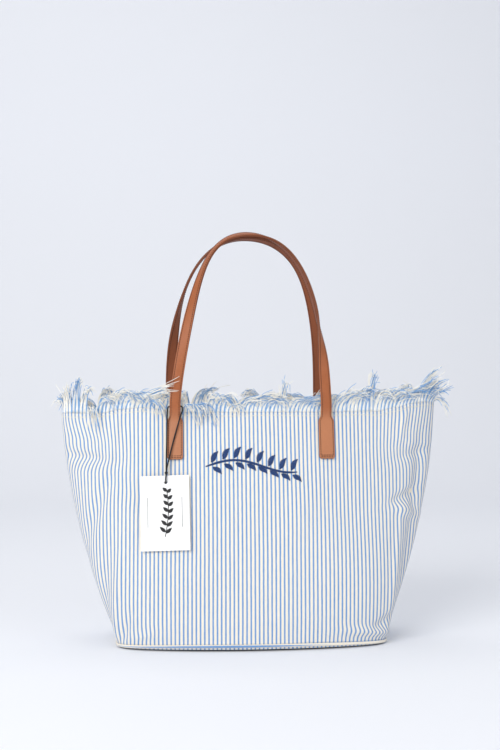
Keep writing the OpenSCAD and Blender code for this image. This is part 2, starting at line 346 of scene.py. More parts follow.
def angle_at(s, z):
    """The front's section angle at distance s along the cloth from the centre, at height z."""
    s, z = np.broadcast_arrays(np.asarray(s, float), np.asarray(z, float))
    u = np.clip((z - SEAM_Z) / RISE, 0, 1) * (len(HEIGHT_SHARES) - 1)
    low = np.clip(np.floor(u).astype(int), 0, len(HEIGHT_SHARES) - 2)
    part = u - low
    out = np.empty(s.shape)
    for row in np.unique(low):
        at = low == row
        a = np.interp(s[at], ALONG[row], FRONT_ANGLES)
        b = np.interp(s[at], ALONG[row + 1], FRONT_ANGLES)
        out[at] = a * (1 - part[at]) + b * part[at]
    return out


def s_at(x, z):
    """The distance along the cloth of the place x across, at height z, on the front face."""
    u = np.clip((z - SEAM_Z) / RISE, 0, 1)
    row = int(round(float(u) * (len(HEIGHT_SHARES) - 1)))
    across, _ = section(HEIGHT_SHARES[row], FRONT_ANGLES)
    return float(np.interp(x, across, ALONG[row]))


# ---- Folds and buckles of the canvas ----

# Each fold: place along the cloth and height, tilt of its line from level in degrees, half
# length, half width, how far it stands out, and how far it pulls the stripes sideways.
# Millimetres. A minus sign makes a hollow.
FRONT_FOLDS = [
    (-226, 256, -8, 36, 9, 2.6, 0.0), (-228, 243, -6, 40, 6, -3.0, 0.0),
    (-186, 262, 76, 36, 7, 1.6, 0.6),
    (-168, 286, 84, 20, 6, -2.0, -1.0), (-206, 178, 64, 60, 10, -3.0, 1.0),
    (-178, 70, 84, 70, 6, 2.6, 0.0), (-200, 60, 80, 60, 12, -5.0, 0.0),
    (-168, 26, 70, 22, 6, -2.0, 1.2), (-146, 20, 20, 20, 6, 1.6, 1.6),
    (-118, 176, -52, 46, 14, 0.9, 0.7), (-150, 192, -30, 44, 12, -1.3, 0.5),
    (222, 262, -10, 34, 9, 2.0, 0.0), (226, 247, 10, 32, 7, -2.6, 0.0),
    (204, 286, 80, 22, 7, 2.2, 1.2), (205, 190, 20, 26, 8, -4.2, -3.6),
    (210, 172, -16, 28, 8, 3.6, 2.0), (190, 108, 82, 70, 6, 2.4, 0.0),
    (214, 110, 80, 70, 12, -6.0, 0.0), (228, 214, 80, 50, 11, -5.0, 0.0),
    (158, 22, -6, 36, 6, 4.0, 3.8), (176, 36, 24, 24, 6, -3.4, -1.6),
    (60, 176, 60, 60, 20, 0.8, 0.3), (-40, 110, 86, 80, 24, -0.9, 0.0),
    (96, 90, 84, 70, 20, 0.8, 0.0), (40, 40, 4, 70, 9, 0.5, 0.0), (-90, 34, -5, 50, 8, 0.5, 0.0),
]
BACK_FOLDS = [
    (-214, 250, -8, 36, 13, -3.0, 3.4), (-222, 222, 12, 32, 12, 2.4, -1.6),
    (-196, 92, 82, 66, 8, -1.8, 0.0), (214, 262, 10, 34, 12, -3.0, -3.0),
    (226, 236, -14, 32, 11, 2.3, 1.8), (190, 150, 70, 56, 10, 1.8, -0.6),
    (150, 30, 8, 38, 8, 2.2, 1.6), (-120, 26, -6, 44, 8, 1.8, -1.0),
    (30, 190, 64, 70, 22, 1.0, 0.4), (-60, 130, 80, 80, 24, -1.0, 0.0),
]


# Where a crease drags the stripes sideways: place and half width along the cloth, the
# crease's height, how far the drag reaches above and below it, and the pull. Millimetres.
DRAGS = {
    FRONT: [(-230, 44, 248, 56, 26, 9.0), (226, 42, 256, 48, 34, -7.0)],
    BACK: [(-222, 40, 250, 50, 30, 6.0), (220, 44, 240, 52, 26, -7.0)],
}


def dragged(s, z, drags):
    """How far the drags shift the stripes sideways at s along and z up."""
    shift = np.zeros(np.shape(s))
    for s0, half, z0, above, below, pull in drags:
        over = z / MM - z0
        reach = np.where(over > 0, 1 - over / above, 1 + over / below)
        shift += pull * MM * ease(reach) * np.exp(-(((s / MM - s0) / half) ** 2))
    return shift


def folds_at(s, z, side):
    """How far the canvas stands out, and how far its stripes shift, at s along and z up."""
    folds = FRONT_FOLDS if side == FRONT else BACK_FOLDS
    out = np.zeros(np.shape(s))
    shift = dragged(s, z, DRAGS[side])
    for s0, z0, tilt, length, width, height, pull in folds:
        c, n = math.cos(math.radians(tilt)), math.sin(math.radians(tilt))
        ds, dz = s / MM - s0, z / MM - z0
        along, over = (ds * c + dz * n) / length, (-ds * n + dz * c) / width
        bump = np.exp(-(along**2)) * np.exp(-(over**2))
        out += height * MM * bump * (1 - 0.35 * over**2)
        shift += pull * MM * bump
    return out, shift


def gentle_waves(s, z, side):
    """The slow unevenness of a soft panel that stands by itself."""
    a = np.sin(s * 23 + side * 1.3) * np.sin(z * 17 + 0.7)
    b = np.sin(s * 51 + z * 19 + side * 2.1) * np.sin(z * 37 + 1.9 * side)
    return (0.9 * a + 0.45 * b) * MM


def held_flat(s, z):
    """0 where sewing holds the canvas flat: at the seams and under the tabs and embroidery."""
    top = ease((RIM_Z - z) / (16 * MM))
    bottom = ease((z - SEAM_Z) / (14 * MM))
    seams = ease((half_girth(z) - np.abs(s)) / (14 * MM))
    free = top * bottom * seams
    for x_mid in TAB_X[FRONT]:
        near = np.exp(-(((s - x_mid) / (17 * MM)) ** 4) - ((z - 272 * MM) / (42 * MM)) ** 4)
        free = free * (1 - 0.9 * near)
    patch = np.exp(-((s / (76 * MM)) ** 4) - ((z - 236 * MM) / (32 * MM)) ** 4)
    return free * (1 - 0.8 * patch)


# How far the rim rises or dips at places along the cloth, in millimetres.
RIM_RISE = {
    FRONT: [(-272, -4), (-200, -4), (-172, 1), (-142, 4), (-116, 1), (-96, -2), (165, -2), (192, 3),
            (214, 8), (240, 10), (272, 8)],
    BACK: [(-272, -4), (-180, 1), (-96, -1), (40, 1), (120, -1), (190, 3), (272, 8)],
}


def rim_rise(s, z, side):
    """How far the canvas near the rim stands above its level height."""
    places, rises = np.array(RIM_RISE[side]).T * MM
    at = np.clip(np.searchsorted(places, s) - 1, 0, len(places) - 2)
    share = ease((s - places[at]) / (places[at + 1] - places[at]))
    rise = rises[at] + (rises[at + 1] - rises[at]) * share
    return rise * ease((z - 258 * MM) / (40 * MM))


def cloth_point(s, z, side, out=0.0, wrinkles=1.0):
    """The place of the canvas at s along and z up, moved out from its face by out."""
    u = np.clip((z - SEAM_Z) / RISE, 0, 1)
    s = np.asarray(s, float)
    lift, shift = folds_at(s, z, side)
    free = held_flat(s, z)
    lift = (lift + gentle_waves(s, z, side)) * free * wrinkles
    moved = np.clip(s + shift * free * wrinkles, -half_girth(z), half_girth(z))
    angle = angle_at(moved, z)
    x, y = section(u, angle)
    x2, y2 = section(u, angle + 1e-3)
    x1, y1 = section(u, angle - 1e-3)
    tx, ty = x2 - x1, y2 - y1
    size = np.maximum(np.hypot(tx, ty), 1e-12)
    nx, ny = ty / size, -tx / size
    offset = lift + out
    z = np.broadcast_to(np.asarray(z, float), s.shape) + rim_rise(s, z, side)
    return np.stack([x + nx * offset, -side * (y + ny * offset), z], axis=-1)


# ---- Materials ----


def new_material(name):
    material = bpy.data.materials.new(name)
    material.use_nodes = True
    nodes, links = material.node_tree.nodes, material.node_tree.links
    shader = nodes["Principled BSDF"]
    return material, nodes, links, shader


def math_node(nodes, links, operation, *inputs):
    node = nodes.new("ShaderNodeMath")
    node.operation = operation
    for i, value in enumerate(inputs):
        if isinstance(value, (int, float)):
            node.inputs[i].default_value = value
        else:
            links.new(value, node.inputs[i])
    return node.outputs[0]


def mix_colors(nodes, links, share, a, b, blend="MIX"):
    node = nodes.new("ShaderNodeMix")
    node.data_type = "RGBA"
    node.blend_type = blend
    node.clamp_factor = True
    for socket, value in ((node.inputs["Factor"], share), (node.inputs["A"], a), (node.inputs["B"], b)):
        if isinstance(value, (int, float)):
            socket.default_value = value
        elif isinstance(value, tuple):
            socket.default_value = (*value, 1)
        else:
            links.new(value, socket)
    return node.outputs["Result"]


def noise(nodes, links, vector, scale, detail=2.0, roughness=0.5):
    node = nodes.new("ShaderNodeTexNoise")
    node.inputs["Scale"].default_value = scale
    node.inputs["Detail"].default_value = detail
    node.inputs["Roughness"].default_value = roughness
    links.new(vector, node.inputs["Vector"])
    return node.outputs["Fac"]


def scaled(nodes, links, vector, factors):
    node = nodes.new("ShaderNodeVectorMath")
    node.operation = "MULTIPLY"
    links.new(vector, node.inputs[0])
    node.inputs[1].default_value = factors
    return node.outputs[0]


def add_bump(nodes, links, shader, height, strength, distance):
    bump = nodes.new("ShaderNodeBump")
    bump.inputs["Strength"].default_value = strength
    bump.inputs["Distance"].default_value = distance
    links.new(height, bump.inputs["Height"])
    links.new(bump.outputs["Normal"], shader.inputs["Normal"])


def object_place(nodes):
    return nodes.new("ShaderNodeTexCoord").outputs["Object"]


def stored_place(nodes, name):
    node = nodes.new("ShaderNodeAttribute")
    node.attribute_type = "GEOMETRY"
    node.attribute_name = name
    return node.outputs["Vector"]


WEAVE = 0.62 * MM


def by_cloth(nodes):
    """The place on the cloth, across and along it, in metres."""
    return stored_place(nodes, "cloth")


def plain_weave(nodes, links, across, along, pitch):
    """Warp and weft that take turns on top."""
    waves = []
    for place in (across, along):
        turns = math_node(nodes, links, "MULTIPLY", place, math.tau / pitch)
        waves.append(math_node(nodes, links, "SINE", turns))
    return math_node(nodes, links, "MULTIPLY", *waves)


def striped_canvas(name):
    """Plain-woven canvas with blue warp stripes."""
    material, nodes, links, shader = new_material(name)
    place = by_cloth(nodes)
    parts = nodes.new("ShaderNodeSeparateXYZ")
    links.new(place, parts.inputs[0])
    across, along = parts.outputs[0], parts.outputs[1]
    # The stripes wander a little, as a soft cloth's do.
    drift = noise(nodes, links, scaled(nodes, links, place, (14, 9, 1)), 1.0, 2.0)
    drift = math_node(nodes, links, "MULTIPLY_ADD", drift, 0.9 * MM, -0.45 * MM)
    wobble = noise(nodes, links, scaled(nodes, links, place, (420, 90, 1)), 1.0, 2.0)
    wobble = math_node(nodes, links, "MULTIPLY_ADD", wobble, 0.5 * MM, -0.25 * MM)
    moved = math_node(nodes, links, "ADD", math_node(nodes, links, "ADD", across, drift), wobble)
    turns = math_node(nodes, links, "DIVIDE", moved, STRIPE)
    away = math_node(nodes, links, "PINGPONG", turns, 0.5)
    edge = nodes.new("ShaderNodeMapRange")
    edge.interpolation_type = "SMOOTHSTEP"
    links.new(away, edge.inputs["Value"])
    edge.inputs["From Min"].default_value = BLUE_SHARE / 2 - 0.045
    edge.inputs["From Max"].default_value = BLUE_SHARE / 2 + 0.045
    edge.inputs["To Min"].default_value = 1.0
    edge.inputs["To Max"].default_value = 0.0
    stripe = edge.outputs["Result"]
    # Warp yarns differ in shade and thickness, and run the length of the cloth.
    yarn = noise(nodes, links, scaled(nodes, links, place, (1500, 34, 1)), 1.0, 3.0, 0.6)
    slub = noise(nodes, links, scaled(nodes, links, place, (160, 700, 1)), 1.0, 2.0)
    blue = mix_colors(nodes, links, yarn, (0.075, 0.215, 0.51), (0.165, 0.35, 0.67))
    cream = mix_colors(nodes, links, yarn, (0.80, 0.735, 0.615), (0.89, 0.845, 0.75))
    cloth_color = mix_colors(nodes, links, stripe, cream, blue)
    slub_share = math_node(nodes, links, "MULTIPLY", slub, 0.14)
    cloth_color = mix_colors(nodes, links, slub_share, cloth_color, (0.88, 0.84, 0.76))
    links.new(cloth_color, shader.inputs["Base Color"])
    shader.inputs["Roughness"].default_value = 0.88
    shader.inputs["Specular IOR Level"].default_value = 0.25
    shader.inputs["Sheen Weight"].default_value = 0.12
    shader.inputs["Sheen Roughness"].default_value = 0.5
    weave = plain_weave(nodes, links, across, along, WEAVE)
    height = math_node(nodes, links, "MULTIPLY_ADD", yarn, 0.8, weave)
    add_bump(nodes, links, shader, height, 0.35, 0.12 * MM)
    return material


def plain_cloth(name, color, light, pitch=0.5 * MM):
    """Plain-woven cotton, seen up close as small crossing yarns."""
    material, nodes, links, shader = new_material(name)
    place = by_cloth(nodes)
    parts = nodes.new("ShaderNodeSeparateXYZ")
    links.new(place, parts.inputs[0])
    yarn = noise(nodes, links, scaled(nodes, links, place, (900, 60, 1)), 1.0, 3.0, 0.6)
    cross = noise(nodes, links, scaled(nodes, links, place, (60, 900, 1)), 1.0, 3.0, 0.6)
    half_cross = math_node(nodes, links, "MULTIPLY", cross, 0.5)
    mottle = math_node(nodes, links, "MULTIPLY_ADD", yarn, 0.5, half_cross)
    links.new(mix_colors(nodes, links, mottle, color, light), shader.inputs["Base Color"])
    shader.inputs["Roughness"].default_value = 0.9
    shader.inputs["Specular IOR Level"].default_value = 0.2
    weave = plain_weave(nodes, links, parts.outputs[0], parts.outputs[1], pitch)
    add_bump(nodes, links, shader, math_node(nodes, links, "ADD", weave, mottle), 0.3, 0.1 * MM)
    return material


def yarn_material(name, dark, light):
    """Loose cotton yarn: matt, with small changes of shade and a twisted surface."""
    material, nodes, links, shader = new_material(name)
    place = object_place(nodes)
    shade = noise(nodes, links, scaled(nodes, links, place, (900, 900, 350)), 1.0, 3.0)
    links.new(mix_colors(nodes, links, shade, dark, light), shader.inputs["Base Color"])
    shader.inputs["Roughness"].default_value = 0.92
    shader.inputs["Specular IOR Level"].default_value = 0.2
    shader.inputs["Sheen Weight"].default_value = 0.25
    shader.inputs["Sheen Roughness"].default_value = 0.45
    add_bump(nodes, links, shader, shade, 0.5, 0.1 * MM)
    return material


def leather(name, dark, light, gloss=0.46):
    """Tumbled cowhide: pebbled grain, fine pores, slow changes of colour; a painted highlight makes it
    paler where the strap is sewn flat.
    """
    material, nodes, links, shader = new_material(name)
    place = object_place(nodes)
    cells = nodes.new("ShaderNodeTexVoronoi")
    cells.feature = "SMOOTH_F1"
    cells.inputs["Scale"].default_value = 760
    cells.inputs["Smoothness"].default_value = 0.6
    links.new(place, cells.inputs["Vector"])
    cloudy = noise(nodes, links, place, 46, 4.0, 0.6)
    grain = noise(nodes, links, place, 300, 3.0, 0.7)
    fine = noise(nodes, links, place, 1500, 2.0, 0.5)
    shade = math_node(nodes, links, "MULTIPLY", fine, 0.15)
    shade = math_node(nodes, links, "MULTIPLY_ADD", cloudy, 0.35, shade)
    shade = math_node(nodes, links, "MULTIPLY_ADD", grain, 0.5, shade)
    base = mix_colors(nodes, links, shade, dark, light)
    crease = math_node(nodes, links, "MULTIPLY", cells.outputs["Distance"], 0.32)
    base = mix_colors(nodes, links, crease, base, dark)
    # Painted highlight: where the strap is sewn flat as a tab, the colour is mixed towards a paler, lit
    # tan.
    parts = nodes.new("ShaderNodeSeparateXYZ")
    links.new(stored_place(nodes, "sewn"), parts.inputs[0])
    tab_painted_highlight = math_node(nodes, links, "MULTIPLY", parts.outputs[0], 0.24)
    links.new(mix_colors(nodes, links, tab_painted_highlight, base, (0.78, 0.40, 0.22)), shader.inputs["Base Color"])
    rough = math_node(nodes, links, "MULTIPLY_ADD", cloudy, 0.16, gloss - 0.06)
    links.new(rough, shader.inputs["Roughness"])
    shader.inputs["Specular IOR Level"].default_value = 0.4
    height = math_node(nodes, links, "MULTIPLY_ADD", cells.outputs["Distance"], -1.0, fine)
    add_bump(nodes, links, shader, height, 0.42, 0.18 * MM)
    return material


def plain_material(name, dark, light, roughness, scale, bump=0.2):
    material, nodes, links, shader = new_material(name)
    shade = noise(nodes, links, object_place(nodes), scale, 3.0)
    links.new(mix_colors(nodes, links, shade, dark, light), shader.inputs["Base Color"])
    shader.inputs["Roughness"].default_value = roughness
    shader.inputs["Specular IOR Level"].default_value = 0.3
    add_bump(nodes, links, shader, shade, bump, 0.05 * MM)
    return material


CANVAS = striped_canvas("striped_canvas")
LINING = plain_cloth("lining_cotton", (0.74, 0.68, 0.56), (0.85, 0.80, 0.69))
TAPE = plain_cloth("rim_tape", (0.80, 0.76, 0.66), (0.88, 0.85, 0.76), 0.9 * MM)
BLUE_YARN = yarn_material("blue_yarn", (0.12, 0.30, 0.61), (0.32, 0.53, 0.81))
CREAM_YARN = yarn_material("cream_yarn", (0.86, 0.83, 0.75), (0.95, 0.935, 0.88))
SEWING = yarn_material("sewing_thread", (0.80, 0.74, 0.60), (0.92, 0.88, 0.77))
FACE_LEATHER = leather("face_leather", (0.24, 0.062, 0.017), (0.50, 0.160, 0.055))
# The backing leather is a darker copy of the face leather: its darkness is painted shade, as seen on the
# straps' undersides.
SHADED_BACK_LEATHER = leather("back_leather_painted_shade", (0.18, 0.046, 0.015), (0.30, 0.086, 0.031), 0.55)
EDGE_PAINT = plain_material("edge_paint", (0.13, 0.035, 0.014), (0.2, 0.058, 0.022), 0.35, 300)
HANDLE_THREAD = yarn_material("handle_thread", (0.030, 0.009, 0.005), (0.075, 0.023, 0.011))
NAVY_THREAD = yarn_material("navy_thread", (0.012, 0.034, 0.12), (0.045, 0.095, 0.26))
BLACK_STRING = yarn_material("black_string", (0.006, 0.006, 0.008), (0.03, 0.03, 0.034))
CARD_PAPER = plain_material("card_paper", (0.86, 0.86, 0.86), (0.92, 0.92, 0.915), 0.6, 900, 0.12)
CARD_INK = plain_material("card_ink", (0.008, 0.008, 0.009), (0.02, 0.02, 0.022), 0.42, 600, 0.1)
# The base's underside is painted near-black: a painted contact shadow under the bag's lower edge.
UNDERSIDE_PAINTED_SHADOW = plain_material("base_underside_painted_shadow", (0.012, 0.014, 0.02), (0.03, 0.034, 0.045), 0.85, 700)
BOARD = plain_material("base_board", (0.36, 0.27, 0.17), (0.48, 0.37, 0.25), 0.85, 500)


# ---- String, knot and card loop ----


def add_string():
    route = smooth_route(np.array(STRING_ROUTE) * MM, 0.7 * MM)
    points = tube_points(route, STRING_D / 2, 12, relief=0.16, lay=3.2 * MM)
    string = mesh_piece("hang_tag_string", points, tube_faces(len(route), 12), BLACK_STRING)
    return ride(string, "tag_string", "string", "tag_string"), route


def add_knot():
    """An overhand knot drawn tight: a trefoil of the same string."""
    t = np.linspace(0, math.tau, 73)[:-1]
    trefoil = np.stack(
        [np.sin(t) + 2 * np.sin(2 * t), -0.9 * np.sin(3 * t), np.cos(t) - 2 * np.cos(2 * t)], axis=1,
    )
    line = KNOT_AT + trefoil * 0.55 * MM
    line = np.vstack([line, line[:1]])
    points = tube_points(line, 0.72 * MM, 10, relief=0.14, lay=3.2 * MM)
    knot = mesh_piece("hang_tag_knot", points, tube_faces(len(line), 10), BLACK_STRING)
    return ride(knot, "tag_string", "string", "tag_knot")


string, string_line = add_string()
knot = add_knot()


# ---- Body ----


def seam_height(x):
    """The piped seam sags towards the bag's ends, where the base turns up least."""
    return SEAM_Z - 1.8 * MM - 3.6 * MM * np.minimum(np.abs(x) / BASE_HALF_W, 1) ** 3


def cloth_grid(name, side, heights, columns, inset, wrinkles, material, thickness):
    """One panel of cloth on the bag's surface, with its place on the cloth stored for the stripes."""
    t = np.linspace(-1, 1, columns)
    rows, place = [], []
    for z in heights:
        s = t * (half_girth(z) - 0.5 * MM)
        row = cloth_point(s, np.full(columns, z), side, -inset, wrinkles)
        sag = SEAM_Z - seam_height(row[:, 0])
        row[:, 2] -= sag * (1 - ease((z - SEAM_Z) / (60 * MM)))
        rows.append(row)
        place.append(np.stack([s, np.full(columns, z)], axis=1))
    faces = grid_faces(len(heights), columns)
    if side == BACK:
        faces = [f[::-1] for f in faces]
    piece = mesh_piece(name, np.vstack(rows), faces, material)
    store(piece, "cloth", np.vstack(place))
    thicken(piece, thickness)
    return piece


def thicken(piece, thickness, offset=-1.0):
    solid = piece.modifiers.new("thickness", "SOLIDIFY")
    solid.thickness = thickness
    solid.offset = offset
    solid.use_quality_normals = True


def add_panel(name, side, node):
    heights = np.linspace(SEAM_Z + PIPING_R * 0.5, RIM_Z, 116)
    panel = cloth_grid(name, side, heights, 211, 0.0, 1.0, CANVAS, CANVAS_T)
    return ride(panel, "root", "striped_canvas", node)


front_canvas = add_panel("front_canvas", FRONT, "front_panel")
back_canvas = add_panel("back_canvas", BACK, "back_panel")


LINING_LOW_Z = 7 * MM
LINING_TOP_Z = RIM_Z - 5 * MM


def add_lining(name, side, node):
    heights = np.linspace(LINING_LOW_Z, LINING_TOP_Z, 60)
    lining = cloth_grid(name, side, heights, 121, 3.2 * MM, 0.55, LINING, 0.5 * MM)
    return ride(lining, "root", "lining", node)


front_lining = add_lining("front_lining_cloth", FRONT, "front_lining")
back_lining = add_lining("back_lining_cloth", BACK, "back_lining")


def add_rim_tape(name, side):
    heights = np.linspace(RIM_Z - 14 * MM, RIM_Z - 1 * MM, 5)
    tape = cloth_grid(name, side, heights, 121, 1.3 * MM, 0.6, TAPE, 0.6 * MM)
    return ride(tape, "root", "tape", "rim_tape")


add_rim_tape("front_rim_tape", FRONT)
add_rim_tape("back_rim_tape", BACK)


def ring_of(u, inset, count=180):
    angles = np.arange(count) * math.tau / count
    return section(u, angles, inset)


def add_base_panel():
    """A shallow tray: flat underneath, turned up all round to the piped seam."""
    profile = [(8.2, 0.2), (6.4, 0.4), (4.4, 0.7), (3.2, 1.3), (2.6, 2.4), (2.3, 5), (1.9, 9), (1.2, 13)]
    profile += [(0.4, 17), (0, 22), (0, 34), (0, 52), (0, 70), (0, 80)]
    rows, place = [], []
    for height, inset in profile:
        x, y = ring_of(0, inset * MM)
        rows.append(np.stack([x, y, height / 9 * seam_height(x)], axis=1))
        # The stripes run from front to back under the bag and turn up with its edge.
        place.append(np.stack([x, y], axis=1))
    count = len(rows[0])
    faces = [f[::-1] for f in grid_faces(len(rows), count, around=True)]
    last = (len(rows) - 1) * count
    faces.append(tuple(last + j for j in reversed(range(count))))
    tray = mesh_piece("base_canvas", np.vstack(rows), faces, [CANVAS, UNDERSIDE_PAINTED_SHADOW])
    # Below its third ring the tray faces the floor and is painted near-black there: a painted contact
    # shadow along the base's lower edge.
    painted_shadow_faces = [int(k // count >= 3) for k in range(len(faces))]
    tray.data.polygons.foreach_set("material_index", painted_shadow_faces)
    store(tray, "cloth", np.vstack(place))
    thicken(tray, 1.0 * MM)
    return ride(tray, "root", "striped_canvas", "base_panel")


base_canvas = add_base_panel()


def add_piping():
    """Cord covered in the same canvas, whose stripes run along it and drift slowly round it."""
    count, sides = 300, 20
    angles = np.arange(count) * math.tau / count
    x, y = section(0, angles, -PIPING_OUT)
    line = np.stack([x, y], axis=1)
    ahead = np.roll(line, -1, axis=0) - np.roll(line, 1, axis=0)
    out = unit(np.stack([ahead[:, 1], -ahead[:, 0]], axis=1))
    steps = np.linalg.norm(np.roll(line, -1, axis=0) - line, axis=1)
    travelled = np.concatenate([[0], np.cumsum(steps)[:-1]])
    girth = math.tau * PIPING_R
    seam = seam_height(x)
    points, place = [], []
    for i in range(count):
        for j in range(sides):
            turn = j * math.tau / sides
            pucker = 1 + 0.025 * math.sin(travelled[i] / (3.1 * MM)) * math.cos(turn)
            r = 0.8 * PIPING_R * pucker
            drift = 1.2 * MM * math.sin(3 * angles[i] + 0.6)
            points.append((*(line[i] + out[i] * r * math.cos(turn)), seam[i] + r * math.sin(turn)))
            place.append((abs(j - sides / 2) / sides * girth + drift - 2.9 * MM, travelled[i]))
    faces = grid_faces(count, sides, around=True)
    last = (count - 1) * sides
    faces += [(last + j, last + (j + 1) % sides, (j + 1) % sides, j) for j in range(sides)]
    piping = mesh_piece("base_piping_cord", points, [f[::-1] for f in faces], CANVAS)
    store(piping, "cloth", np.array(place))
    return ride(piping, "root", "striped_canvas", "base_piping")


add_piping()


def add_base_inside():
    """The lining over the base board, with the board's edge showing softly through."""
    rows, place = [], []
    profile = [(6.5, 5.2), (9, 5.0), (13, 5.6), (20, 5.5), (34, 5.4), (52, 5.3), (70, 5.3), (84, 5.3)]
    for inset, height in profile:
        x, y = ring_of(0, inset * MM)
        ripple = 0.2 * np.sin(x * 90) * np.sin(y * 120)
        rows.append(np.stack([x, y, (height + ripple) * MM], axis=1))
        place.append(np.stack([x, y], axis=1))
    count = len(rows[0])
    faces = grid_faces(len(rows), count, around=True)
    last = (len(rows) - 1) * count
    faces.append(tuple(last + j for j in range(count)))
    cloth = mesh_piece("base_lining_cloth", np.vstack(rows), faces, LINING)
    store(cloth, "cloth", np.vstack(place))
    thicken(cloth, 0.5 * MM)
    return ride(cloth, "root", "lining", "base_lining")


base_lining = add_base_inside()
give_material("base_board", BOARD)


POCKET_W = 0.15
POCKET_H = 0.12
POCKET_LOW_Z = 0.12


def add_pocket():
    """A flat pocket on the back lining, sewn on three sides and a little slack between them."""
    heights = np.linspace(POCKET_LOW_Z, POCKET_LOW_Z + POCKET_H, 40)
    columns = np.linspace(-POCKET_W / 2, POCKET_W / 2, 50)
    rows, place = [], []
    for z in heights:
        top = ease((z - 226 * MM) / (14 * MM))
        bag = math.sin(math.pi * (z - POCKET_LOW_Z) / POCKET_H) ** 2
        slack = (0.5 + 0.9 * top) * MM * bag * np.cos(columns / (POCKET_W / 2) * math.pi / 2)
        s = np.array([s_at(x, z) for x in columns])
        p = cloth_point(s, np.full(len(s), z), BACK, -4.1 * MM, 0.55)
        p[:, 1] -= slack
        rows.append(p)
        place.append(np.stack([columns, np.full(len(s), z)], axis=1))
    faces = grid_faces(len(heights), len(columns))
    pocket = mesh_piece("inner_pocket_cloth", np.vstack(rows), faces, LINING)
    store(pocket, "cloth", np.vstack(place))
    thicken(pocket, 0.5 * MM)
    return ride(pocket, "root", "lining", "inner_pocket")


pocket = add_pocket()


# ---- Stitches ----


def stitch(start, end, out, rise):
    """One stitch: a short thread that arches out of one hole and into the next."""
    middle = (start + end) / 2 + out * rise
    return np.array([start - out * rise * 0.8, start * 0.8 + middle * 0.2 + out * rise * 0.35,
                     middle, end * 0.8 + middle * 0.2 + out * rise * 0.35, end - out * rise * 0.8])


def stitch_row(line, outs, length, gap):
    """Stitches along a line of points, each with its outward direction."""
    along = np.concatenate([[0], np.cumsum(np.linalg.norm(np.diff(line, axis=0), axis=1))])

    def at(values, distance):
        return np.array([np.interp(distance, along, values[:, k]) for k in range(3)])

    count = int(along[-1] // (length + gap))
    pitch = along[-1] / count
    threads = []
    for i in range(count):
        start, end = at(line, i * pitch + gap / 2), at(line, (i + 1) * pitch - gap / 2)
        threads.append(stitch(start, end, unit(at(outs, (i + 0.5) * pitch)), 0.35 * MM))
    return threads


def add_rim_stitching(name, side):
    z = RIM_Z - 4.5 * MM
    s = np.linspace(-1, 1, 260) * (half_girth(z) - 4 * MM)
    zs = z + 0.5 * MM * np.sin(s * 60)
    line = cloth_point(s, zs, side, 0.15 * MM)
    outs = unit(cloth_point(s, zs, side, 1.0 * MM) - line)
    threads = stitch_row(line, outs, 2.6 * MM, 0.8 * MM)
    row = many_tubes(name, threads, 0.3 * MM, 5, SEWING)
    return ride(row, "root", "thread")


add_rim_stitching("front_rim_stitching", FRONT)
add_rim_stitching("back_rim_stitching", BACK)


# ---- Frayed rim ----

YARN_R = 0.36 * MM
YARN_PITCH = 0.78 * MM

# Tufts along the front rim, in millimetres: middle and half width along the rim, then how far
# sideways, at its peak, at its tip and outwards it reaches, and how closely its yarns gather.
FRONT_TUFTS = [
    (-262, 8, -6, 20, 14, 4, 0.3), (-246, 8, 2, 30, 33, 3, 0.6), (-234, 8, 6, 42, 42, 1, 0.75),
    (-223, 6, 14, 34, 30, 3, 0.5), (-212, 7, 8, 13, -11, 10, 0.4), (-196, 9, 20, 24, 12, 3, 0.4),
    (-178, 10, 24, 27, 10, 3, 0.3), (-160, 9, 26, 24, 8, 3, 0.4), (-148, 9, 46, 20, 25, 10, 0.75),
    (-133, 9, 17, 16, -5, 8, 0.5), (-116, 8, 10, 18, 14, -2, 0.2), (-100, 8, 4, 14, 16, -4, 0.1),
    (-84, 9, 15, 15, -9, 9, 0.4), (-69, 8, 15, 17, -6, 9, 0.45), (-58, 7, 16, 26, 14, 4, 0.4),
    (-44, 8, 19, 25, 10, 4, 0.4), (-28, 7, 11, 13, 1, 3, 0.2), (-12, 10, 24, 20, 17, 3, 0.4),
    (8, 9, 23, 22, 19, 3, 0.4), (24, 8, 17, 20, 11, 3, 0.3), (39, 5, 5, 34, 37, 0, 0.8),
    (52, 8, 26, 18, 15, 2, 0.45), (68, 8, 26, 19, 15, 4, 0.4), (82, 7, 16, 17, 9, 3, 0.3),
    (96, 8, 3, 15, 15, -4, 0.1), (112, 8, 22, 24, 26, 3, 0.5), (126, 8, 23, 27, 20, 4, 0.4),
    (141, 8, 18, 29, 28, 3, 0.5), (157, 5, 6, 44, 49, 0, 0.8), (169, 8, 20, 27, 20, 4, 0.4),
    (184, 8, 24, 23, 15, 5, 0.4), (200, 8, 36, 18, 13, 6, 0.7), (216, 8, 38, 22, 24, 12, 0.6),
    (229, 6, 20, 32, 43, 18, 0.7), (239, 6, 6, 26, 34, 28, 0.7), (248, 6, 2, 18, 22, 28, 0.6),
    (259, 7, 0, 10, -9, 20, 0.5),
]


def back_tufts():
    """The back rim's tufts, drawn at random."""
    tufts, at = [], -264.0
    while at < 262:
        half = rng.uniform(6, 10)
        reach = rng.choice([-1, 1], p=[0.35, 0.65]) * rng.uniform(3, 30)
        peak = rng.uniform(15, 29)
        tufts.append((
            at + half, half, reach, peak, peak * rng.uniform(0.2, 1.1), rng.uniform(-3, 6),
            rng.uniform(0.2, 0.7),
        ))
        at += 2 * half
    return tufts


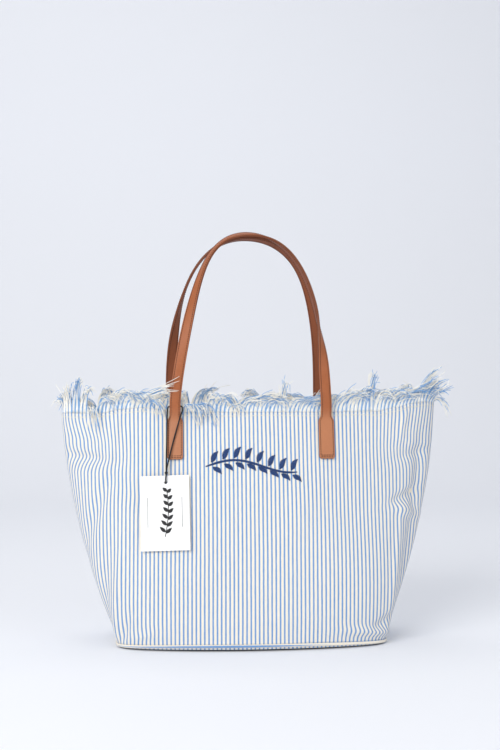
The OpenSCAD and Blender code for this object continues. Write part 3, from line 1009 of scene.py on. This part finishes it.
def yarn_line(s, side, tuft):
    """One frayed yarn: it leaves the rim upwards and sweeps the way the rest of its tuft does."""
    middle, half, reach, peak, tip, reach_out, gather = tuft
    z = np.array([RIM_Z - 0.6 * MM])
    root = cloth_point(np.array([s]), z, side, -0.5 * CANVAS_T)[0]
    near = cloth_point(np.array([s + 0.4 * MM]), z, side, -0.5 * CANVAS_T)[0]
    across = unit(near - root)
    out = unit(cloth_point(np.array([s]), z, side, 1 * MM)[0] - root)
    t = np.linspace(0, 1, 16)[:, None] * min(1.1, rng.uniform(0.66, 1.12))
    stray = 2.2 if rng.uniform() < 0.3 else 1.0
    reach += rng.normal(0, 3.2 * stray) + gather * (middle - s / MM)
    lift = rng.normal(0, 2.6 * stray)
    reach_out += rng.normal(0, 1.8 * stray)
    rise = rng.uniform(0.7, 1.12)
    # The guide points of the yarn's sweep, each across, up and out, in millimetres.
    guides = [(0, 0, 0), (0.04 * reach, 0.85 * peak * rise, 0.1 * reach_out),
              (0.5 * reach, 1.25 * peak * rise, 0.65 * reach_out), (reach, tip + lift, reach_out)]
    weights = [(1 - t) ** 3, 3 * t * (1 - t) ** 2, 3 * t**2 * (1 - t), t**3]
    path = sum(w * np.array(g) for w, g in zip(weights, guides))
    phase = rng.uniform(0, math.tau)
    kink = rng.uniform(0.2, 1.0) * np.sin(phase + t[:, 0] * rng.uniform(9, 22)) * t[:, 0]
    path[:, 0] += kink
    path[:, 2] += 0.7 * kink
    return root + (path[:, :1] * across + path[:, 1:2] * (0, 0, 1) + path[:, 2:] * out) * MM


def keep_clear(line, side, in_front):
    """Moves a yarn off the handle's straps and off the canvas below the rim."""
    for x_mid in TAB_X[side]:
        near = ease(1.6 - np.abs(line[:, 0] - x_mid) / (STRAP_W / 2 + 4 * MM))
        deep = side * line[:, 1]
        if in_front:
            clear = np.maximum(deep, STRAP_CLEAR_Y + STRAP_T + 1.2 * MM)
            clear = np.where(line[:, 2] > RIM_Z + 3 * MM, clear, deep)
        else:
            clear = np.minimum(deep, STRAP_CLEAR_Y - 1.3 * MM)
        line[:, 1] = side * (deep + (clear - deep) * near)
    face = face_depth(line[:, 0], np.minimum(line[:, 2], RIM_Z))
    low = line[:, 2] < line[0, 2] - 1.2 * MM
    line[low, 1] = side * np.maximum(side * line[low, 1], face[low] + 1.0 * MM)
    line[:, 0] = np.clip(line[:, 0], -FRINGE_HALF_W - 22 * MM, FRINGE_HALF_W + 22 * MM)
    return line


def stripe_of(s):
    """True where the cloth's stripe at s is blue."""
    turn = (s / STRIPE) % 1.0
    return min(turn, 1 - turn) < BLUE_SHARE / 2 - 0.01


def add_fringe(side_name, side, tufts):
    reach = float(half_girth(RIM_Z))
    blue, cream = [], []
    s = -reach + 0.4 * MM
    while s < reach:
        tuft = min(tufts, key=lambda t: abs(t[0] * MM - s) / t[1])
        in_front = tuft[5] > 7 and tuft[4] > 0
        for _ in range(2):
            yarn = yarn_line(s + rng.uniform(-0.3, 0.3) * MM, side, tuft)
            line = keep_clear(yarn, side, in_front)
            (blue if stripe_of(s) else cream).append(line)
        s += YARN_PITCH
    for color_name, lines, material in (("blue", blue, BLUE_YARN), ("cream", cream, CREAM_YARN)):
        piece = many_tubes(f"{side_name}_{color_name}_yarns", lines, YARN_R, 5, material)
        ride(piece, "root", "yarn", f"{side_name}_fringe")


add_fringe("front", FRONT, FRONT_TUFTS)
add_fringe("back", BACK, back_tufts())


# ---- Handles ----

LEAN_START_Z = 330 * MM
STITCH_IN = 1.9 * MM
STITCH_R = 0.42 * MM


# Two guide points of each leg's bend: how far beyond the tab and how high the first lies,
# and how far across the second, level with the top. Millimetres.
LEG_GUIDES = {FRONT: (-7, 425, 78), BACK: (2, 432, 81)}

# How far the front handle's left leg stands straighter than its right.
LEFT_LEG_IN = 4 * MM


def half_arch(half_span, guide, top_z):
    """Half of a handle's middle line above its fold: across, up, and the share of the way."""
    t = np.linspace(0, 1, 120)[:, None]
    beyond, low_z, across = guide
    points = (
        (half_span, FOLD_Z), (half_span + beyond * MM, low_z * MM), (across * MM, top_z), (0, top_z),
    )
    p0, p1, p2, p3 = (np.array(p) for p in points)
    flat = p0 * (1 - t) ** 3 + p1 * 3 * t * (1 - t) ** 2 + p2 * 3 * t**2 * (1 - t) + p3 * t**3
    return flat, t[:, 0]


def tab_line(x, side):
    """A tab's middle line from its lower edge to the fold, against the canvas at first."""
    up = np.linspace(TAB_Z, FOLD_Z, 34)[:-1]
    sewn = face_depth(x, np.minimum(up, RIM_Z)) + 0.3 * MM
    depth = sewn + (STRAP_CLEAR_Y - sewn) * ease((up - 288 * MM) / (18 * MM)) + STRAP_T / 2
    return np.stack([np.full(len(up), x), side * depth, up], axis=1)


def handle_line(side, top_z):
    left_x, right_x = TAB_X[side]
    middle, half_span = (left_x + right_x) / 2, (right_x - left_x) / 2
    flat, t = half_arch(half_span, LEG_GUIDES[side], top_z)
    lean = ease((flat[:, 1] - LEAN_START_Z) / (top_z - LEAN_START_Z))
    depth = side * (STRAP_MID_Y + (HANDLE_TOP_Y - STRAP_MID_Y) * lean)
    sway = FRONT_SWAY * np.sin(math.pi * t) ** 2 if side == FRONT else 0 * t
    inward = LEFT_LEG_IN * np.sin(math.pi * t**0.75) ** 2 if side == FRONT else 0 * t
    left = np.stack([middle + sway + inward - flat[:, 0], depth, flat[:, 1]], axis=1)
    right = np.stack([middle + sway + flat[:, 0], depth, flat[:, 1]], axis=1)
    line = [tab_line(left_x, side), left, right[::-1][1:], tab_line(right_x, side)[::-1]]
    return even_points(np.vstack(line), 2.2 * MM)


def strap_half_width(z):
    corner = np.clip((TAB_Z + TAB_CORNER_R - z) / TAB_CORNER_R, 0, 1)
    square = TAB_W / 2 - TAB_CORNER_R + TAB_CORNER_R * np.sqrt(1 - corner**2)
    return square - (TAB_W - STRAP_W) / 2 * ease((z - 290 * MM) / (8 * MM))


# Heights in millimetres between which a strap twists onto its edge: left leg, right leg.
TWIST_HEIGHTS = {FRONT: ((335, 545), (335, 445)), BACK: ((345, 480), (380, 514))}


def strap_frames(side, top_z):
    """Places, lengthwise, outward and crosswise directions and half widths along a handle."""
    line = handle_line(side, top_z)
    along = unit(np.gradient(line, axis=0))
    radial = unit(np.cross((0, -1.0, 0), along))
    flat = unit(np.cross(radial, along)) * side
    middle = sum(TAB_X[side]) / 2
    k = np.clip((line[:, 0] - middle) / (60 * MM), -1, 1)
    left, right = TWIST_HEIGHTS[side]
    low, high = np.where((k < 0)[:, None], left, right).T * MM
    twist = ease((line[:, 2] - low) / (high - low))
    top_roll = BACK_TOP_ROLL if side == BACK else FRONT_TOP_ROLL * np.cos(k * math.pi / 2) ** 2
    roll = side * HANDLE_ROLL * np.sin(k * math.pi / 2) + top_roll
    turn = twist * (math.pi / 2 - roll)
    out = np.cos(turn)[:, None] * flat + np.sin(turn)[:, None] * radial
    # Low down, the tab lies against the canvas, which falls away sideways.
    step = 4 * MM
    slope = (face_depth(line[:, 0] + step, 0.27) - face_depth(line[:, 0] - step, 0.27)) / (2 * step)
    on_cloth = unit(np.stack([-slope, np.full(len(line), side), np.zeros(len(line))], axis=1))
    sewn = 1 - ease((line[:, 2] - 288 * MM) / (18 * MM))
    out = out * (1 - sewn)[:, None] + on_cloth * sewn[:, None]
    out = unit(out - along * np.sum(out * along, axis=1)[:, None])
    return line, out, unit(np.cross(along, out)), strap_half_width(line[:, 2])


def strap_profile(half_w):
    """One side of a strap's section, from the seam between its plies to its middle: distance
    in from the edge, and height as a share of half the thickness."""
    points = [(0.24, 0.0), (0.02, 0.16), (0.0, 0.5), (0.12, 0.78), (0.45, 0.95), (1.0, 1.0)]
    points += [(1.55, 0.98), (STITCH_IN / MM, 0.84), (2.25, 0.98), (3.0, 1.03)]
    points.append((half_w / MM * 0.75, 1.05))
    return [(half_w - d * MM, h) for d, h in points] + [(0.0, 1.06)]


def strap_ring(p, out, across, half_w):
    side_points = strap_profile(half_w)
    top = [(x, h) for x, h in side_points] + [(-x, h) for x, h in side_points[-2:0:-1]]
    ring = top + [(-x, -h) for x, h in side_points] + [(x, -h) for x, h in side_points[-2:0:-1]]
    return [p + across * x + out * h * STRAP_T / 2 for x, h in ring]


def add_strap(name, side, top_z):
    line, out, across, widths = strap_frames(side, top_z)
    rings = [strap_ring(*values) for values in zip(line, out, across, widths)]
    size = len(rings[0])
    points = [p for ring in rings for p in ring]
    faces = grid_faces(len(rings), size, around=True)
    last = (len(rings) - 1) * size
    faces.append(tuple(j for j in reversed(range(size))))
    faces.append(tuple(last + j for j in range(size)))
    strap = mesh_piece(name, points, faces, [FACE_LEATHER, SHADED_BACK_LEATHER, EDGE_PAINT])
    # The share of each ring sewn flat as a tab, where the leather gets a painted highlight.
    sewn = 1 - ease((np.repeat(line[:, 2], size) - 288 * MM) / (24 * MM))
    store(strap, "sewn", sewn[:, None])
    quarter = len(strap_profile(widths[0])) - 1
    slots = []
    for k in range(len(faces)):
        j = k % size
        near_edge = min(j % (2 * quarter), (2 * quarter - 1) - j % (2 * quarter)) < 3
        slots.append(2 if near_edge or k >= len(faces) - 2 else (0 if j < 2 * quarter else 1))
    strap.data.polygons.foreach_set("material_index", slots)
    return strap, (line, out, across, widths)


def add_handle_stitches(name, frames):
    """Thread down both edges, on both faces, and twice across the foot of each tab."""
    line, out, across, widths = frames
    threads = []
    for face in (1, -1):
        for edge in (1, -1):
            row = line + across * (edge * (widths - STITCH_IN))[:, None] + out * face * STRAP_T * 0.44
            inner = widths > STITCH_IN + 2 * MM
            inside = (line[:, 2] > TAB_Z + 2.6 * MM) & inner
            threads += stitch_row(row[inside], (out * face)[inside], 2.0 * MM, 1.1 * MM)
    tab_rings = 40
    for first in (0, len(line) - tab_rings):
        heights = line[first : first + tab_rings, 2]
        for rise in (2.6 * MM, 4.8 * MM):
            k = first + int(np.argmin(np.abs(heights - TAB_Z - rise)))
            reach = widths[k] - STITCH_IN
            steps = np.linspace(-reach, reach, 12)
            row = np.array([line[k] + across[k] * w + out[k] * STRAP_T * 0.5 for w in steps])
            threads += stitch_row(row, np.repeat(out[k][None], 12, axis=0), 1.9 * MM, 1.0 * MM)
    return many_tubes(name, threads, STITCH_R, 5, HANDLE_THREAD)


def add_handle(name, side, top_z):
    strap, frames = add_strap(f"{name}_strap", side, top_z)
    stitches = add_handle_stitches(f"{name}_stitching", frames)
    for piece in (strap, stitches):
        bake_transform(piece)
    place = name.split("_")[0]
    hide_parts(name, f"{name}_backing", f"{place}_left_tab", f"{place}_right_tab")


add_handle("front_handle", FRONT, FRONT_TOP_Z)
add_handle("back_handle", BACK, BACK_TOP_Z)
# The handle patches take the darker copy of the leather, which carries painted shade.
give_material("handle_patches", SHADED_BACK_LEATHER)


# ---- Embroidery ----

THREAD_R = 0.24 * MM


def on_front(x, z, out):
    """A point on the front canvas, folds and all."""
    return cloth_point(np.array([s_at(x, z)]), np.array([z]), FRONT, out)[0]


def satin(path, widths, pad):
    """Satin stitches laid side by side across a path on the front canvas, in millimetres."""
    path = np.asarray(path, float)
    along = np.concatenate([[0], np.cumsum(np.linalg.norm(np.diff(path, axis=0), axis=1))])
    count = max(3, int(along[-1] / 0.42))
    threads = []
    for d in np.linspace(0, along[-1], count):
        p = np.array([np.interp(d, along, path[:, k]) for k in range(2)])
        q = np.array([np.interp(min(d + 0.1, along[-1]), along, path[:, k]) for k in range(2)])
        o = np.array([np.interp(max(d - 0.1, 0), along, path[:, k]) for k in range(2)])
        ahead = (q - o) / max(np.linalg.norm(q - o), 1e-9)
        slant = np.array([-ahead[1], ahead[0]]) * 0.94 + ahead * 0.34
        width = float(np.interp(d, along, widths)) / 2 + rng.uniform(-0.06, 0.06)
        line = []
        for k in np.linspace(-1, 1, 6):
            spot = p + slant * width * k
            line.append(on_front(spot[0] * MM, spot[1] * MM, (0.15 + pad * (1 - k**4)) * MM))
        threads.append(np.array(line))
    return threads


def leaf(root, angle, length, width):
    t = np.linspace(0, 1, 12)
    direction = np.array([math.cos(math.radians(angle)), math.sin(math.radians(angle))])
    bend = np.array([-direction[1], direction[0]])
    path = [np.array(root) + direction * length * k + bend * 0.9 * math.sin(math.pi * k) for k in t]
    return path, width * np.sin(math.pi * np.clip(t, 0.03, 0.97) ** 0.85) + 0.35


def stem_point(t):
    return np.array([-62 + 117 * t, 233 + 8 * math.sin(math.tau * 0.8 * t)])


def add_embroidery():
    """A leafy sprig in navy satin stitch."""
    stem = [stem_point(t) for t in np.linspace(0, 1, 60)]
    threads = satin(stem, np.interp(np.linspace(0, 1, 60), [0, 0.1, 0.9, 1], [1.4, 3.2, 3.0, 1.4]), 0.6)
    for i in range(1, 16, 2):
        p = stem_point(i / 16)
        threads += satin(*leaf(p + np.array([0, 3]), 58, 16, 7.6), 0.8)
        threads += satin(*leaf(p + np.array([2, -3.2]), -38, 13.5, 6.8), 0.8)
    sprig = many_tubes("embroidered_sprig", threads, THREAD_R, 5, NAVY_THREAD)
    return ride(sprig, "root", "thread", "embroidery")


add_embroidery()


# ---- Hang tag ----


def card_matrix():
    """Turns the card's own plane (right, up, out towards the front) into the row frame."""
    x_slope = (face_depth(CARD_X + 5 * MM, 0.18) - face_depth(CARD_X - 5 * MM, 0.18)) / (10 * MM)
    z_slope = (face_depth(CARD_X, 0.185) - face_depth(CARD_X, 0.175)) / (10 * MM)
    lean, yaw = math.atan(z_slope), -math.atan(x_slope)

    def rotated(a, b, angle):
        return a * math.cos(angle) - b * math.sin(angle), a * math.sin(angle) + b * math.cos(angle)

    def turned(v):
        x, y, z = v
        x, z = rotated(x, z, CARD_TILT)
        y, z = rotated(y, z, lean)
        x, y = rotated(x, y, yaw)
        return np.array([x, y, z])

    hole = np.array([CARD_X, -(face_depth(CARD_X, CARD_HOLE_Z) + CARD_GAP), CARD_HOLE_Z])
    return turned, hole


card_turn, card_hole = card_matrix()


def on_card(right, up, out):
    """A point on the card: right and up from its hole, out from its back."""
    return card_hole + card_turn((right, -out, up))


def rounded_outline(left, right, low, high, radius, steps=6):
    corners = [(right - radius, high - radius, 0), (left + radius, high - radius, 90),
               (left + radius, low + radius, 180), (right - radius, low + radius, 270)]
    outline = []
    for x, y, start in corners:
        for k in range(steps + 1):
            angle = math.radians(start + 90 * k / steps)
            outline.append((x + radius * math.cos(angle), y + radius * math.sin(angle)))
    return outline


def add_card():
    """Thin card with rounded corners and a punched hole; its faces are rings about the hole."""
    left, right = -CARD_W / 2 - CARD_HOLE_OFFSET, CARD_W / 2 - CARD_HOLE_OFFSET
    low, high = CARD_HOLE_BELOW_TOP - CARD_H, CARD_HOLE_BELOW_TOP
    edge = np.array(rounded_outline(left, right, low, high, 1.2 * MM))
    count = len(edge)
    angles = np.arctan2(edge[:, 1], edge[:, 0])
    hole = np.stack([np.cos(angles), np.sin(angles)], axis=1) * 2.6 * MM
    bevel = 0.12 * MM
    inward = unit(np.roll(edge, -1, axis=0) - np.roll(edge, 1, axis=0))
    inward = np.stack([-inward[:, 1], inward[:, 0]], axis=1) * bevel
    loops = [
        (hole, 0.0), (edge + inward, 0.0), (edge, bevel), (edge, CARD_T - bevel),
        (edge + inward, CARD_T), (hole, CARD_T),
    ]
    points = [on_card(x, y, out) for loop, out in loops for x, y in loop]
    faces = grid_faces(len(loops), count, around=True)
    first = (len(loops) - 1) * count
    faces += [(first + j, first + (j + 1) % count, (j + 1) % count, j) for j in range(count)]
    card = mesh_piece("hang_tag_card", points, [f[::-1] for f in faces], CARD_PAPER, smooth=False)
    return ride(card, "hang_tag", "card", "hang_tag")


add_card()


def from_card_middle(outline):
    """A printed shape on the card: points right and up, in millimetres from the card's middle."""
    middle = np.array([-CARD_HOLE_OFFSET, CARD_HOLE_BELOW_TOP - CARD_H / 2])
    return [np.array(p) * MM + middle for p in outline]


def add_print():
    """A generic printed sprig down the card, with a plain rule on each side."""
    shapes = []
    width = 4.6

    def printed_leaf(root, angle, length):
        t = np.linspace(0, 1, 9)
        d = np.array([math.cos(math.radians(angle)), math.sin(math.radians(angle))])
        n = np.array([-d[1], d[0]])
        half = width / 2 * np.sin(math.pi * t**0.8)
        shapes.append([root + d * length * k + n * h for k, h in zip(t, half)]
                      + [root + d * length * k - n * h for k, h in zip(t[-2:0:-1], half[-2:0:-1])])

    spine = [np.array([4.5 * math.sin(k * 2.6), -30 + 60 * k]) for k in np.linspace(0, 1, 15)]
    for a, b in zip(spine[:-1], spine[1:]):
        n = unit(np.array([-(b - a)[1], (b - a)[0]])) * 0.55
        shapes.append([a - n, a + n, b + n, b - n])
    for i in range(1, 14, 2):
        printed_leaf(spine[i], 42, 11 - 0.25 * i)
        printed_leaf(spine[i] + np.array([0, 1.5]), 138, 11 - 0.25 * i)
    for x, low, high in ((-22, -18, 20), (22, -18, 20)):
        shapes.append([(x - 0.25, low), (x + 0.25, low), (x + 0.25, high), (x - 0.25, high)])
    points, faces = [], []
    for shape in shapes:
        outline = from_card_middle(shape)
        base = len(points)
        points += [on_card(x, y, CARD_T + 0.04 * MM) for x, y in outline]
        faces.append(tuple(base + j for j in range(len(outline))))
    print_piece = mesh_piece("hang_tag_print", points, faces, CARD_INK, smooth=False)
    return ride(print_piece, "hang_tag", "card")


add_print()


# ---- Floor and light ----


def add_sweep():
    """A pale floor that curves up into a backdrop."""
    profile = [(-3.0, 0.0), (1.6, 0.0)]
    radius = 1.2
    for a in np.linspace(0.1, math.pi / 2, 16):
        profile.append((1.6 + radius * math.sin(a), radius * (1 - math.cos(a))))
    profile.append((1.6 + radius, 5.0))
    points = [(x, y, z) for y, z in profile for x in (-5.0, 5.0)]
    faces = grid_faces(len(profile), 2)
    material, nodes, links, shader = new_material("pale_sweep")
    shader.inputs["Base Color"].default_value = (0.885, 0.902, 0.945, 1)
    shader.inputs["Roughness"].default_value = 0.7
    shader.inputs["Specular IOR Level"].default_value = 0.2
    sweep = mesh_piece("pale_sweep", points, faces, material)


def add_lamp(name, at, target, size, power, color=(1, 1, 1)):
    data = bpy.data.lights.new(name, "AREA")
    data.shape = "RECTANGLE"
    data.size, data.size_y = size
    data.energy = power
    data.color = color
    lamp = bpy.data.objects.new(name, data)
    lamp.location = at
    aim = unit(np.array(target, float) - np.array(at, float))
    lamp.rotation_euler = Vector(aim).to_track_quat("-Z", "Y").to_euler()
    bpy.context.scene.collection.objects.link(lamp)


def add_world(color, strength):
    world = bpy.data.worlds.new("studio")
    world.use_nodes = True
    background = world.node_tree.nodes["Background"]
    background.inputs["Color"].default_value = (*color, 1)
    background.inputs["Strength"].default_value = strength
    bpy.context.scene.world = world


add_sweep()
add_world((0.95, 0.965, 1.0), 0.52)
add_lamp("key", (-1.7, -2.4, 1.7), (0, 0, 0.2), (2.0, 1.5), 66, (1.0, 0.985, 0.96))
add_lamp("fill", (1.9, -1.9, 1.2), (0, 0, 0.25), (1.6, 1.6), 12, (0.96, 0.98, 1.0))
add_lamp("top", (0, 0.4, 2.6), (0, 0, 0.2), (2.2, 1.6), 10)
add_lamp("backdrop", (-0.6, 0.9, 2.7), (0.2, 3.0, 0.7), (2.4, 0.8), 6)
bpy.context.scene.view_settings.view_transform = "Standard"
